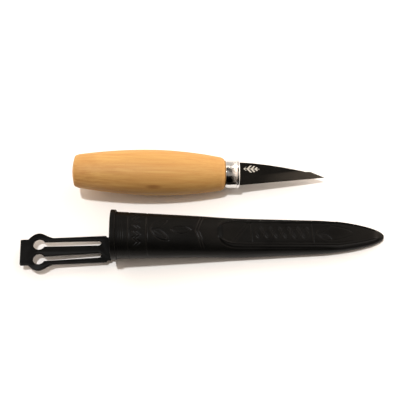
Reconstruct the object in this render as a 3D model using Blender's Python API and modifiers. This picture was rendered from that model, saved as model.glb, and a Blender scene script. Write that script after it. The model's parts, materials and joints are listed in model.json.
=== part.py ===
"""A whittling knife lying beside its moulded belt sheath. Metres, +Z up, both resting on the plane z = 0.

The knife points along +X with its cutting edge towards -Y. The sheath's mouth faces -X, and the belt
hanger reaches on from the mouth. The origin is the bottom centre of the whole set's bounding box.
"""

import math

import bmesh
import bpy
from mathutils import Vector

# Room between pieces that touch in the real object.
GAP = 0.0003
OVERRUN = 0.002  # how far a cutter reaches past the surface it cuts

# Knife: its own frame has the axis along X, with x = 0 where the wood meets the ferrule.
HANDLE_LENGTH = 0.0975
HANDLE_WIDTH = 0.0303
OVAL = 0.865  # thickness over width of every turned section
BELLY_FROM_BUTT = 0.051
BUTT_DROP = 0.0047  # how much the radius falls from the belly to the butt
FRONT_DROP = 0.0045
BUTT_POWER = 1.85
FRONT_POWER = 2.0
BUTT_DOME = 0.0012
BUTT_CORNER = 0.0020
FRONT_CORNER = 0.0021

FERRULE_LENGTH = 0.0094
FERRULE_WIDTH = 0.0187
FERRULE_SHEET = 0.0007
FERRULE_BEAD = 0.00025
BEAD_LENGTH = 0.0013
BEAD_EDGE = 0.0005  # the bead's rounding onto the front face

BLADE_LENGTH = 0.0563  # from the ferrule to the tip
BLADE_THICKNESS = 0.0027
HEEL_ABOVE_AXIS = 0.0082
HEEL_BELOW_AXIS = 0.0080
TIP_BELOW_AXIS = 0.0012
SPINE_DROP = 0.00585  # from the heel to where the spine turns down to the tip
SPINE_POWER = 1.62
CLIP_FROM_TIP = 0.0130
HUMP_FROM_TIP = 0.0095  # the spine runs nearly level from the clip to here, then down to the tip
HUMP_DROP = 0.0058
BEVEL_HEIGHT = 0.0062
EDGE_LAND = 0.0001  # flat left along the cutting edge
GRIND_REACH = (0.1, 0.02, 0.01)  # a grinding block is larger than the blade each way

TANG_LENGTH = 0.073
TANG_ROOT_WIDTH = 0.0084
TANG_END_WIDTH = 0.0046
TANG_BORE_RADIUS = 0.0056
TANG_BORE_DEPTH = 0.067  # behind the handle's front face

# Sheath: its own frame has x = 0 at the mouth, y = 0 midway, z = 0 at the flat back.
SHEATH_LENGTH = 0.1709
SHEATH_WALL = 0.0016
TIP_FLAT = 0.0003  # cut off the very tip, so that its last ring has a size
MOUTH_HALF_WIDTH = 0.01485
SIDE_TAPER = 0.0312  # half-width lost for each unit of length
TIP_START = 0.128  # where the sides begin to curve in to the tip
TIP_POWER = 1.85
MOUTH_DEPTH = 0.0238
POCKET_TAPER = 0.094  # depth lost for each unit of length over the handle pocket
BLADE_DEPTH = 0.0204  # the blade part's depth carried back to the mouth
BLADE_TAPER = 0.076
POCKET_END = 0.048  # the handle pocket blends into the flatter blade part from here
BLADE_START = 0.082
TIP_DEPTH = 0.0052
POCKET_POWER = 2.3  # superellipse power of the front: near an oval over the handle
BLADE_POWER = 3.1  # and flatter over the blade
NOSE_LENGTH = 0.0090  # the last stretch, where the front rounds down to the tip
NOSE_DROP = 0.45  # share of the depth lost at the very tip
RIM_LENGTH = 0.0033
RIM_PROUD = 0.0008
RIM_FRONT_PROUD = 0.0015
RIM_EDGE = 0.0005
MOUTH_LIFT = 0.0040  # the back rises off the floor towards the mouth
LIFT_END = 0.085
LIFT_POWER = 1.5
# The section's rounded back corners, as shares of its half-width and of its depth.
MOUTH_BACK_CORNER = (0.72, 0.50)
BLADE_BACK_CORNER = (0.34, 0.36)
PANEL_START = 0.0650
PANEL_FULL = 0.0775  # where the panel reaches its full width
PANEL_HALF_WIDTH = 0.0082
PANEL_MARGIN = 0.0017  # least distance from the panel to the outline
PANEL_RISE = 0.0007
PANEL_LEAST = 0.0010
PANEL_BLUNT = 0.12  # the round end starts at this share of the full width
PANEL_END_POWER = 2.2
PANEL_FROM_TIP = 0.0035
PANEL_CORNER = (0.15, 0.15)
PANEL_POWER = 7.0
PANEL_ROOT = 0.5  # the raised block starts at this share of the depth, inside the moulding
CAVITY_END_WALL = 0.0055
CAVITY_LEAST = 0.0022
RINGS = 26  # evenly spaced rings along a loft
TIP_RINGS_FROM = 0.86
TIP_RINGS = 9

# Belt hanger: its own frame has the film hinge at x = 0 and reaches along -X.
HANGER_REACH = 0.0563
HANGER_THICKNESS = 0.0024
HINGE_STANDOFF = 0.0016  # from the hinge line to the mouth's rim
HANGER_OFFSET = -0.0042  # across the sheath, from its middle
NECK_HALF = 0.0077
NECK_LENGTH = 0.0024
STRAP_HALF = 0.0088
WAIST_AT = 0.0352
BULGE_AT = 0.0448
BULGE_HALF = 0.0124
TAB_AT = 0.0511
TAB_HALF = 0.0085
TAB_BEVEL = 0.0004
SLOT_SPACING_AT_KEYHOLES = 0.0098
SLOT_SPACING_AT_HINGE = 0.0083
SLOT_WIDTH = 0.0034
SLOT_START = 0.0060
KEYHOLE_AT = 0.0447
KEYHOLE_DIAMETER = 0.0073
HINGE_HEIGHT = 0.0040
HANGER_LIFT = math.radians(2.6)  # the film hinge holds the strap a little off the floor
HANGER_TURN = math.radians(2.2)  # and lets it lean towards -Y
PLATE_START = 0.0006  # the plate starts inside the hinge's knuckle
KNUCKLE_EASE = 0.00002

# How the knife lies beside the sheath, from the sheath's mouth. The barrel rocks forward until it
# bears under the knife's centre of gravity.
KNIFE_ALONG = 0.0706
KNIFE_ACROSS = 0.0447
KNIFE_PITCH = math.radians(4.2)
SHEATH_TURN = math.radians(0.7)  # the sheath lies a little askew beside the knife

TURNED_STEPS = 48


# ---------------------------------------------------------------- materials


def material(name, colour, roughness, metallic=0.0):
    made = bpy.data.materials.new(name)
    made.use_nodes = True
    shader = made.node_tree.nodes["Principled BSDF"]
    shader.inputs["Base Color"].default_value = (*colour, 1.0)
    shader.inputs["Roughness"].default_value = roughness
    shader.inputs["Metallic"].default_value = metallic
    made.diffuse_color = (*colour, 1.0)
    return made


def birch():
    return material("oiled_birch", (0.72, 0.44, 0.17), 0.5)


def polished_steel():
    return material("polished_steel", (0.36, 0.36, 0.37), 0.18, 1.0)


def plated_steel():
    return material("plated_steel", (0.80, 0.80, 0.79), 0.12, 1.0)


def cured_glue():
    return material("cured_glue", (0.55, 0.42, 0.20), 0.4)


def black_plastic(name):
    return material(name, (0.018, 0.018, 0.019), 0.38)


# ---------------------------------------------------------------- helpers


def add_object(name, mesh, collection, parent=None, finish=None):
    obj = bpy.data.objects.new(name, mesh)
    collection.objects.link(obj)
    obj.parent = parent
    if finish:
        mesh.materials.append(finish)
    return obj


def mesh_of(name, shape):
    """A Blender mesh from a bmesh, with its normals facing out."""
    bmesh.ops.recalc_face_normals(shape, faces=shape.faces)
    mesh = bpy.data.meshes.new(name)
    shape.to_mesh(mesh)
    shape.free()
    return mesh


def shade(mesh, degrees=35):
    mesh.shade_smooth()
    mesh.set_sharp_from_angle(angle=math.radians(degrees))


def turned(name, profile, collection, parent, finish=None):
    """A solid turned about the knife's axis from (along, radius) points, then flattened to the oval."""
    shape = bmesh.new()
    points = [shape.verts.new((radius, 0, along)) for along, radius in profile]
    for first, second in zip(points, points[1:]):
        shape.edges.new((first, second))
    mesh = bpy.data.meshes.new(name)
    shape.to_mesh(mesh)
    shape.free()
    obj = add_object(name, mesh, collection, parent, finish)
    obj.rotation_euler = (0, math.radians(90), 0)
    obj.scale = (OVAL, 1, 1)
    screw = obj.modifiers.new("Turn", "SCREW")
    screw.axis = "Z"
    screw.steps = TURNED_STEPS
    screw.render_steps = TURNED_STEPS
    screw.use_merge_vertices = True
    screw.merge_threshold = 0.00002
    screw.use_normal_calculate = True
    return obj


def outline_solid(name, outlines, thickness, collection, parent=None):
    """A plate from flat closed outlines; those after the first are holes. z runs from 0 to its thickness."""
    curve = bpy.data.curves.new(name, "CURVE")
    curve.dimensions = "2D"
    curve.fill_mode = "BOTH"
    curve.extrude = thickness / 2
    for outline in outlines:
        spline = curve.splines.new("POLY")
        spline.points.add(len(outline) - 1)
        for point, (x, y) in zip(spline.points, outline):
            point.co = (x, y, 0, 1)
        spline.use_cyclic_u = True
    guide = bpy.data.objects.new(name + "_outline", curve)
    collection.objects.link(guide)
    guide.location.z = thickness / 2
    bpy.context.view_layer.update()
    graph = bpy.context.evaluated_depsgraph_get()
    mesh = bpy.data.meshes.new_from_object(guide.evaluated_get(graph))
    mesh.transform(guide.matrix_world)
    bpy.data.objects.remove(guide)
    shape = bmesh.new()
    shape.from_mesh(mesh)
    bmesh.ops.remove_doubles(shape, verts=shape.verts, dist=0.000001)
    bmesh.ops.recalc_face_normals(shape, faces=shape.faces)
    shape.to_mesh(mesh)
    shape.free()
    mesh.name = name
    return add_object(name, mesh, collection, parent)


def box(name, low, high, collection, parent=None):
    """A box between two corners of its parent's frame."""
    shape = bmesh.new()
    bmesh.ops.create_cube(shape, size=1)
    size = Vector(high) - Vector(low)
    bmesh.ops.scale(shape, vec=size, verts=shape.verts)
    bmesh.ops.translate(shape, vec=Vector(low) + size / 2, verts=shape.verts)
    return add_object(name, mesh_of(name, shape), collection, parent)


def cylinder_along_x(name, start, end, radius, collection, parent):
    shape = bmesh.new()
    bmesh.ops.create_cone(shape, cap_ends=True, segments=32, radius1=radius, radius2=radius, depth=end - start)
    obj = add_object(name, mesh_of(name, shape), collection, parent)
    obj.rotation_euler = (0, math.radians(90), 0)
    obj.location.x = (start + end) / 2
    return obj


def boolean(obj, operation, other):
    modifier = obj.modifiers.new(other.name, "BOOLEAN")
    modifier.operation = operation
    modifier.object = other
    modifier.solver = "EXACT"
    other.hide_render = True
    other.display_type = "WIRE"


def arc(centre, radius, start, end, steps):
    """(x, y) points on an arc, angles in degrees."""
    angles = [math.radians(start + (end - start) * i / steps) for i in range(steps + 1)]
    return [(centre[0] + radius * math.cos(a), centre[1] + radius * math.sin(a)) for a in angles]


def smooth_step(t):
    t = min(1.0, max(0.0, t))
    return t * t * (3 - 2 * t)


# ---------------------------------------------------------------- knife


def handle_radius(along):
    """Half the handle's width at a distance behind (negative) its front face."""
    from_butt = HANDLE_LENGTH + along
    if from_butt < BELLY_FROM_BUTT:
        share = (BELLY_FROM_BUTT - from_butt) / BELLY_FROM_BUTT
        return HANDLE_WIDTH / 2 - BUTT_DROP * share**BUTT_POWER
    share = (from_butt - BELLY_FROM_BUTT) / (HANDLE_LENGTH - BELLY_FROM_BUTT)
    return HANDLE_WIDTH / 2 - FRONT_DROP * share**FRONT_POWER


def make_handle(parts, cutters, frame):
    """A turned birch barrel with a spigot for the ferrule and a blind bore for the tang."""
    spigot_radius = FERRULE_WIDTH / 2 - FERRULE_SHEET - GAP
    spigot_end = FERRULE_LENGTH - 2 * FERRULE_SHEET - GAP
    butt, front = -HANDLE_LENGTH, 0.0
    butt_radius = handle_radius(butt + BUTT_DOME)
    front_radius = handle_radius(front)
    corner = (butt + BUTT_DOME + BUTT_CORNER, butt_radius - BUTT_CORNER)
    profile = [(butt, 0.0)]
    face_radius = butt_radius - BUTT_CORNER
    for i in range(1, 5):
        radius = face_radius * i / 5
        profile.append((butt + BUTT_DOME * (radius / face_radius) ** 2, radius))
    profile += arc(corner, BUTT_CORNER, 180, 96, 5)
    first, last = corner[0] + 0.001, front - FRONT_CORNER
    steps = 24
    for i in range(steps + 1):
        along = first + (last - first) * i / steps
        profile.append((along, handle_radius(along)))
    profile += arc((last, front_radius - FRONT_CORNER), FRONT_CORNER, 80, 0, 5)
    profile += [(front, spigot_radius), (spigot_end, spigot_radius), (spigot_end, 0.0)]
    handle = turned("handle", profile[::-1], parts, frame, birch())
    bore = cylinder_along_x("tang_bore", -TANG_BORE_DEPTH, FERRULE_LENGTH, TANG_BORE_RADIUS, cutters, frame)
    boolean(handle, "DIFFERENCE", bore)
    return handle


def make_ferrule(parts, cutters, frame):
    """A drawn steel cup pressed over the spigot, with a slot in its front wall for the tang."""
    radius = FERRULE_WIDTH / 2
    inner = radius - FERRULE_SHEET
    wall = FERRULE_LENGTH - 2 * FERRULE_SHEET
    bead = radius + FERRULE_BEAD
    profile = [(wall, 0.0), (wall, inner), (GAP, inner), (GAP, radius)]
    start, edge = FERRULE_LENGTH - BEAD_LENGTH, BEAD_LENGTH / 4
    profile += [(start, radius), (start + edge, bead), (FERRULE_LENGTH - edge, bead)]
    profile += [(FERRULE_LENGTH, bead - BEAD_EDGE), (FERRULE_LENGTH, 0.0)]
    ferrule = turned("ferrule", profile[::-1], parts, frame, plated_steel())
    half = TANG_ROOT_WIDTH / 2 + GAP
    thick = BLADE_THICKNESS / 2 + GAP
    low, high = (wall - OVERRUN, -half, -thick), (FERRULE_LENGTH + OVERRUN, half, thick)
    slot = box("tang_slot", low, high, cutters, frame)
    boolean(ferrule, "DIFFERENCE", slot)
    return ferrule


def blade_outline():
    """The blade and its stick tang in plan: spine towards +Y, edge towards -Y."""
    heel = FERRULE_LENGTH + GAP
    tip = FERRULE_LENGTH + BLADE_LENGTH
    clip = tip - CLIP_FROM_TIP
    tang_end = heel - TANG_LENGTH
    spine = []
    steps = 14
    for i in range(steps + 1):
        share = i / steps
        spine.append((heel + (clip - heel) * share, HEEL_ABOVE_AXIS - SPINE_DROP * share**SPINE_POWER))
    tang = [(heel, -TANG_ROOT_WIDTH / 2), (tang_end, -TANG_END_WIDTH / 2)]
    tang += [(tang_end, TANG_END_WIDTH / 2), (heel, TANG_ROOT_WIDTH / 2)]
    spine.append((tip - HUMP_FROM_TIP, HEEL_ABOVE_AXIS - HUMP_DROP))
    return [(tip, -TIP_BELOW_AXIS), (heel, -HEEL_BELOW_AXIS), *tang, *spine]


def make_blade(parts, cutters, frame):
    """A flat blade with its tang, ground with one flat bevel on each side down to the edge."""
    blade = outline_solid("blade", [blade_outline()], BLADE_THICKNESS, parts, frame)
    blade.location.z = -BLADE_THICKNESS / 2
    blade.data.materials.append(polished_steel())
    heel = Vector((FERRULE_LENGTH + GAP, -HEEL_BELOW_AXIS, 0))
    tip = Vector((FERRULE_LENGTH + BLADE_LENGTH, -TIP_BELOW_AXIS, 0))
    along = (tip - heel).normalized()
    slope = math.atan2(along.y, along.x)
    grind = math.atan2(BLADE_THICKNESS / 2 - EDGE_LAND / 2, BEVEL_HEIGHT)
    length, width, height = GRIND_REACH
    for side, name in ((1, "upper_grind"), (-1, "lower_grind")):
        low = (-GAP / 2, -width, min(0, side * height))
        high = (length, width, max(0, side * height))
        cutter = box(name, low, high, cutters, frame)
        cutter.location = heel + Vector((0, 0, side * EDGE_LAND / 2))
        cutter.rotation_euler = (side * grind, 0, slope)
        boolean(blade, "DIFFERENCE", cutter)
    return blade


def make_tang_glue(parts, cutters, frame):
    """The cured glue that fills the bore round the tang."""
    end = FERRULE_LENGTH - 2 * FERRULE_SHEET - 2 * GAP
    glue = cylinder_along_x(
        "tang_glue", GAP - TANG_BORE_DEPTH, end, TANG_BORE_RADIUS - GAP, parts, frame
    )
    glue.data.materials.append(cured_glue())
    heel = FERRULE_LENGTH + GAP
    tang_end = heel - TANG_LENGTH
    root, far = TANG_ROOT_WIDTH / 2 + GAP, TANG_END_WIDTH / 2 + GAP
    outline = [(heel, root), (tang_end - GAP, far), (tang_end - GAP, -far), (heel, -root)]
    thickness = BLADE_THICKNESS + 2 * GAP
    pocket = outline_solid("tang_pocket", [outline], thickness, cutters, frame)
    pocket.location.z = -thickness / 2
    boolean(glue, "DIFFERENCE", pocket)
    return glue


# ---------------------------------------------------------------- sheath


def sheath_half_width(along):
    """Half the sheath's outer width at a distance from the mouth, without the rim."""
    half = MOUTH_HALF_WIDTH - SIDE_TAPER * along
    if along > TIP_START:
        share = (along - TIP_START) / (SHEATH_LENGTH - TIP_START)
        half *= math.sqrt(max(0.0, 1 - share**TIP_POWER))
    return half


def blade_share(along):
    """0 over the handle pocket, 1 over the blade part."""
    return smooth_step((along - POCKET_END) / (BLADE_START - POCKET_END))


def sheath_depth(along):
    """The sheath's outer thickness at a distance from the mouth, without the rim and the panel."""
    pocket = MOUTH_DEPTH - POCKET_TAPER * along
    blade = BLADE_DEPTH - BLADE_TAPER * along
    depth = pocket + (blade - pocket) * blade_share(along)
    if along > TIP_START:
        share = (along - TIP_START) / (SHEATH_LENGTH - TIP_START)
        depth += (TIP_DEPTH - (BLADE_DEPTH - BLADE_TAPER * SHEATH_LENGTH)) * share**3
    nose = max(0.0, 1 - (SHEATH_LENGTH - along) / NOSE_LENGTH)
    return depth * (1 - NOSE_DROP * (1 - math.sqrt(1 - min(1.0, nose) ** 2)))


def front_power(along):
    """How square the front of the section is: round over the handle, flatter over the blade."""
    return POCKET_POWER + (BLADE_POWER - POCKET_POWER) * blade_share(along)


def back_lift(along):
    """How far the flat back stands above the floor."""
    return MOUTH_LIFT * max(0.0, 1 - along / LIFT_END) ** LIFT_POWER


def back_corner(along):
    """The back corners' shares of the half-width and the depth: round at the mouth, tight over the blade."""
    share = blade_share(along)
    return [mouth + (blade - mouth) * share for mouth, blade in zip(MOUTH_BACK_CORNER, BLADE_BACK_CORNER)]


def panel_half_width(along):
    """The front panel starts in a round end and keeps its width until the sides close in."""
    half = min(PANEL_HALF_WIDTH, max(PANEL_LEAST, sheath_half_width(along) - PANEL_MARGIN))
    if along < PANEL_FULL:
        share = (PANEL_FULL - along) / (PANEL_FULL - PANEL_START)
        half *= max(PANEL_BLUNT, math.sqrt(max(0.0, 1 - share**PANEL_END_POWER)))
    return half


def section(along, half, low, high, corner, power):
    """A ring with a flat back, elliptic back corners and a superelliptic front."""
    across, rise = corner[0] * half, corner[1] * (high - low)
    flat = half - across
    turn = [(across * y, rise * (1 + z)) for y, z in arc((0, 0), 1, -90, 0, 6)]
    ring = [(y * flat, low) for y in (-0.5, 0.0, 0.5)]
    ring += [(flat + y, low + z) for y, z in turn]
    steps = 20
    for i in range(1, steps):
        angle = math.pi * i / steps
        cosine, sine = math.cos(angle), math.sin(angle)
        y = half * math.copysign(abs(cosine) ** (2 / power), cosine)
        z = low + rise + (high - low - rise) * sine ** (2 / power)
        ring.append((y, z))
    ring += [(-flat - y, low + z) for y, z in reversed(turn)]
    return [(along, y, z) for y, z in ring]


def loft(name, rings, collection, parent):
    """A closed solid through rings of equal length."""
    shape = bmesh.new()
    rows = [[shape.verts.new(point) for point in ring] for ring in rings]
    count = len(rows[0])
    for row, following in zip(rows, rows[1:]):
        for i in range(count):
            after = (i + 1) % count
            shape.faces.new((row[i], row[after], following[after], following[i]))
    shape.faces.new(rows[0])
    shape.faces.new(rows[-1][::-1])
    return add_object(name, mesh_of(name, shape), collection, parent)


def stations(start, end, tip_end):
    """Places along the sheath, closer together towards a rounded tip."""
    even = [start + (end - start) * i / RINGS for i in range(RINGS + 1)]
    if not tip_end:
        return even
    turn = TIP_RINGS_FROM * end
    straight = [x for x in even if x < turn]
    angles = [math.pi / 2 * i / TIP_RINGS for i in range(TIP_RINGS + 1)]
    return straight + [turn + (end - turn) * math.sin(angle) for angle in angles]


def make_sheath_body(parts, cutters, frame):
    """One hollow moulding: a rim, a round handle pocket, and a flatter blade part with a raised panel."""
    rings = []
    for along in stations(RIM_LENGTH - RIM_EDGE, SHEATH_LENGTH - TIP_FLAT, True):
        half, low = sheath_half_width(along), back_lift(along)
        high = low + sheath_depth(along)
        rings.append(section(along, half, low, high, back_corner(along), front_power(along)))
    body = loft("sheath_body", rings, parts, frame)
    rim_rings = []
    for along, shrink in ((0, RIM_EDGE), (RIM_EDGE, 0), (RIM_LENGTH - RIM_EDGE, 0), (RIM_LENGTH, RIM_EDGE)):
        half, low = sheath_half_width(along) + RIM_PROUD - shrink, back_lift(along)
        high = low + sheath_depth(along) + RIM_FRONT_PROUD - shrink
        rim_rings.append(section(along, half, low, high, back_corner(along), front_power(along)))
    rim = loft("mouth_rim", rim_rings, cutters, frame)
    boolean(body, "UNION", rim)
    panel_rings = []
    for along in stations(PANEL_START, SHEATH_LENGTH - PANEL_FROM_TIP, True):
        half, depth, back = panel_half_width(along), sheath_depth(along), back_lift(along)
        low, high = back + PANEL_ROOT * depth, back + depth + PANEL_RISE
        panel_rings.append(section(along, half, low, high, PANEL_CORNER, PANEL_POWER))
    panel = loft("front_panel", panel_rings, cutters, frame)
    boolean(body, "UNION", panel)
    cavity_rings = []
    for along in stations(-OVERRUN, SHEATH_LENGTH - CAVITY_END_WALL, False):
        place = max(0.0, along)
        half = max(CAVITY_LEAST, sheath_half_width(place) - SHEATH_WALL)
        low = back_lift(place) + SHEATH_WALL
        high = back_lift(place) + sheath_depth(place) - SHEATH_WALL
        cavity_rings.append(section(along, half, low, high, back_corner(place), front_power(place)))
    cavity = loft("cavity", cavity_rings, cutters, frame)
    boolean(body, "DIFFERENCE", cavity)
    body.data.materials.append(black_plastic("sheath_plastic"))
    return body


def hanger_half_width(x):
    """Half the hanger's width at a distance from the hinge, up to its tab."""
    if x < WAIST_AT:
        return STRAP_HALF
    if x < BULGE_AT:
        return STRAP_HALF + (BULGE_HALF - STRAP_HALF) * smooth_step((x - WAIST_AT) / (BULGE_AT - WAIST_AT))
    fall = (x - BULGE_AT) / (TAB_AT - BULGE_AT)
    return BULGE_HALF - (BULGE_HALF - TAB_HALF - TAB_BEVEL) * fall**2


def hanger_outline():
    """The hanger in plan: a neck, a straight strap, a bulge round the keyholes and a square pull tab."""
    round_off = STRAP_HALF - NECK_HALF
    side = [(PLATE_START, NECK_HALF), (NECK_LENGTH, NECK_HALF)]
    shoulder = (NECK_LENGTH + round_off, NECK_HALF)
    side += arc(shoulder, round_off, 150, 90, 2)
    steps = 18
    for i in range(steps + 1):
        x = WAIST_AT + (TAB_AT - WAIST_AT) * i / steps
        side.append((x, hanger_half_width(x)))
    side += [(TAB_AT + TAB_BEVEL, TAB_HALF), (HANGER_REACH - TAB_BEVEL, TAB_HALF)]
    side += [(HANGER_REACH, TAB_HALF - TAB_BEVEL)]
    return [(-x, y) for x, y in side] + [(-x, -y) for x, y in reversed(side)]


def keyhole(side):
    """A long slot that ends in a round button hole. The two slots draw together towards the hinge."""
    half = SLOT_WIDTH / 2
    hole = (-KEYHOLE_AT, side * SLOT_SPACING_AT_KEYHOLES / 2)
    end = (-SLOT_START - half, side * SLOT_SPACING_AT_HINGE / 2)
    lean = math.degrees(math.atan2(end[1] - hole[1], end[0] - hole[0]))
    join = math.degrees(math.asin(SLOT_WIDTH / KEYHOLE_DIAMETER))
    button_hole = arc(hole, KEYHOLE_DIAMETER / 2, lean + join, lean + 360 - join, 16)
    return button_hole + arc(end, half, lean - 90, lean + 90, 6)


def make_belt_hanger(parts, cutters, hinge, strap):
    """A flexible plate with two keyhole slots, round at the hinge end so that it can fold either way."""
    holes = [keyhole(side) for side in (1, -1)]
    plate = outline_solid("belt_hanger", [hanger_outline(), *holes], HANGER_THICKNESS, parts, strap)
    plate.location.z = -HANGER_THICKNESS / 2
    plate.data.materials.append(black_plastic("hanger_plastic"))
    radius = HANGER_THICKNESS / 2 - KNUCKLE_EASE
    length = 2 * (NECK_HALF - PLATE_START)
    shape = bmesh.new()
    bmesh.ops.create_cone(shape, cap_ends=True, segments=24, radius1=radius, radius2=radius, depth=length)
    knuckle = add_object("hinge_knuckle", mesh_of("hinge_knuckle", shape), cutters, hinge)
    knuckle.rotation_euler = (math.radians(90), 0, 0)
    boolean(plate, "UNION", knuckle)
    return plate


# ---------------------------------------------------------------- the set


def empty(name, location, parent=None):
    obj = bpy.data.objects.new(name, None)
    bpy.context.scene.collection.objects.link(obj)
    obj.location = location
    obj.parent = parent
    return obj


def new_collection(name):
    made = bpy.data.collections.new(name)
    bpy.context.scene.collection.children.link(made)
    return made


def bounds(objects):
    """The lowest and highest corner of the objects as the viewport shows them."""
    bpy.context.view_layer.update()
    graph = bpy.context.evaluated_depsgraph_get()
    corners = []
    for obj in objects:
        shown = obj.evaluated_get(graph)
        corners += [shown.matrix_world @ vertex.co for vertex in shown.data.vertices]
    low = Vector([min(corner[i] for corner in corners) for i in range(3)])
    high = Vector([max(corner[i] for corner in corners) for i in range(3)])
    return low, high


def main():
    for obj in list(bpy.data.objects):
        bpy.data.objects.remove(obj)
    parts = new_collection("whittling_knife")
    cutters = new_collection("cutters")
    root = empty("set_frame", (0, 0, 0))
    sheath = empty("sheath_frame", (0, 0, 0), root)
    sheath.rotation_euler.z = SHEATH_TURN
    hinge = empty("hanger_hinge", (-HINGE_STANDOFF, HANGER_OFFSET, HINGE_HEIGHT), sheath)
    strap = empty("strap_frame", (0, 0, 0), hinge)
    strap.rotation_euler = (0, HANGER_LIFT, HANGER_TURN)
    knife = empty("knife_frame", (KNIFE_ALONG, KNIFE_ACROSS, HANDLE_WIDTH / 2), root)
    knife.rotation_euler.y = KNIFE_PITCH
    knife_parts = [make_handle(parts, cutters, knife), make_ferrule(parts, cutters, knife)]
    knife_parts += [make_blade(parts, cutters, knife), make_tang_glue(parts, cutters, knife)]
    make_sheath_body(parts, cutters, sheath)
    make_belt_hanger(parts, cutters, hinge, strap)
    knife.location.z -= bounds(knife_parts)[0].z
    low, high = bounds(parts.objects)
    root.location = (-(low.x + high.x) / 2, -(low.y + high.y) / 2, -low.z)
    for obj in parts.objects:
        shade(obj.data)


main()
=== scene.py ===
import json
import math

import bmesh
import bpy
import numpy as np
from mathutils import Matrix, Vector


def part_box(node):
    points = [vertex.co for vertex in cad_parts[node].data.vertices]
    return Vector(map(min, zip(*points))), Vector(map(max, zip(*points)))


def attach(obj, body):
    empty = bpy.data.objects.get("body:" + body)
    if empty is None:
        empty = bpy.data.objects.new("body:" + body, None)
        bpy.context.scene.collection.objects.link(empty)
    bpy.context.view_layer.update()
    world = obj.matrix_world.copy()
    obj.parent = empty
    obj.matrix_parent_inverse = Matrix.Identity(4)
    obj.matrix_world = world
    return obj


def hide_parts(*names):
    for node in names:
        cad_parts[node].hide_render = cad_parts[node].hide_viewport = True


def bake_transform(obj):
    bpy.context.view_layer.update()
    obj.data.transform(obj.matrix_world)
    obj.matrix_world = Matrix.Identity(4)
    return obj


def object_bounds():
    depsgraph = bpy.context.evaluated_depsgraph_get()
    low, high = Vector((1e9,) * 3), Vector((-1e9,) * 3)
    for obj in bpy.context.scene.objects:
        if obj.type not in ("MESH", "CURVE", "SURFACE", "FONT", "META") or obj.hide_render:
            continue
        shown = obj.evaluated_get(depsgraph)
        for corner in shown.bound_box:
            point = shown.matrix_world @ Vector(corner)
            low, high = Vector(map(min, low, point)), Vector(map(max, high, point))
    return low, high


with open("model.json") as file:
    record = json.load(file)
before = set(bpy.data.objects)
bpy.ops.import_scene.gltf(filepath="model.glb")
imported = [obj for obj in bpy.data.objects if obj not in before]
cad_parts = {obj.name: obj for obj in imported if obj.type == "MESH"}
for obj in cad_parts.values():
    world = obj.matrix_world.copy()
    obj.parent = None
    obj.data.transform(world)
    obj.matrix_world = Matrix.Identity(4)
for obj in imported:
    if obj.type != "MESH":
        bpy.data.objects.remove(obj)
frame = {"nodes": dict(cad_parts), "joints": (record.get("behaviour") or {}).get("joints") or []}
cad_low, cad_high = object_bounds()

# ---------------------------------------------------------------- sizes, in metres

# Knife: its own frame has the axis along X, with x = 0 where the wood meets the ferrule.
HANDLE_LENGTH = 0.0975
HANDLE_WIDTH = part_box("handle")[1].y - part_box("handle")[0].y
OVAL = 0.865  # thickness over width of every turned section
BELLY_FROM_BUTT = 0.051
BUTT_DROP = 0.0047  # how much the radius falls from the belly to the butt
FRONT_DROP = 0.0045
BUTT_POWER = 1.85
FRONT_POWER = 2.0
BUTT_DOME = 0.0012
BUTT_CORNER = 0.0020
FRONT_CORNER = 0.0021
TANG_BORE_RADIUS = 0.0056
TANG_BORE_DEPTH = 0.067

FERRULE_LENGTH = 0.0094
FERRULE_WIDTH = 0.0187
FERRULE_SHEET = 0.0007
FERRULE_BEAD = 0.00025

BLADE_LENGTH = 0.0563  # from the ferrule to the tip
BLADE_THICKNESS = 0.0027
HEEL_GAP = 0.0003
HEEL_ABOVE_AXIS = 0.0082
HEEL_BELOW_AXIS = 0.0080
TIP_BELOW_AXIS = 0.0012
SPINE_DROP = 0.00585
SPINE_POWER = 1.62
CLIP_FROM_TIP = 0.0130
HUMP_FROM_TIP = 0.0095  # the spine runs nearly level from the clip to here, then down to the tip
HUMP_DROP = 0.0058
BEVEL_HEIGHT = 0.0062
EDGE_LAND = 0.0001
SPINE_CHAMFER = 0.00022
TANG_LENGTH = 0.073
TANG_ROOT_WIDTH = 0.0084
TANG_END_WIDTH = 0.0046
KNIFE_PITCH = math.radians(4.2)  # the knife rests on its belly, nose down

# Sheath: its own frame has x = 0 at the mouth, y = 0 midway, z = 0 at the flat back.
SHEATH_LENGTH = 0.1709
SHEATH_TURN = math.radians(0.7)  # the sheath lies a little askew beside the knife
SHEATH_WALL = 0.0016
MOUTH_HALF_WIDTH = 0.01485
SIDE_TAPER = 0.0312
TIP_START = 0.128
TIP_POWER = 1.85
MOUTH_DEPTH = 0.0238
POCKET_TAPER = 0.094
BLADE_DEPTH = 0.0204
BLADE_TAPER = 0.076
POCKET_END = 0.048
BLADE_START = 0.082
TIP_DEPTH = 0.0052
NOSE_LENGTH = 0.0090
NOSE_DROP = 0.45
TIP_FLAT = 0.0003  # cut off the very tip, so that its last ring has a size
POCKET_POWER = 2.3
BLADE_POWER = 3.1
RIM_LENGTH = 0.0033
RIM_PROUD = 0.0008
RIM_FRONT_PROUD = 0.0015
RIM_EDGE = 0.0004
MOUTH_LIFT = 0.0040  # the back rises off the floor towards the mouth
LIFT_END = 0.085
LIFT_POWER = 1.5
MOUTH_BACK_CORNER = (0.72, 0.50)  # shares of the section's half-width and depth
BLADE_BACK_CORNER = (0.34, 0.36)
PANEL_START = 0.0650
PANEL_FULL = 0.0775
PANEL_HALF_WIDTH = 0.0082
PANEL_MARGIN = 0.0017
PANEL_RISE = 0.0007
PANEL_END_MARGIN = 0.0035
CAVITY_END_WALL = 0.0055

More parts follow.
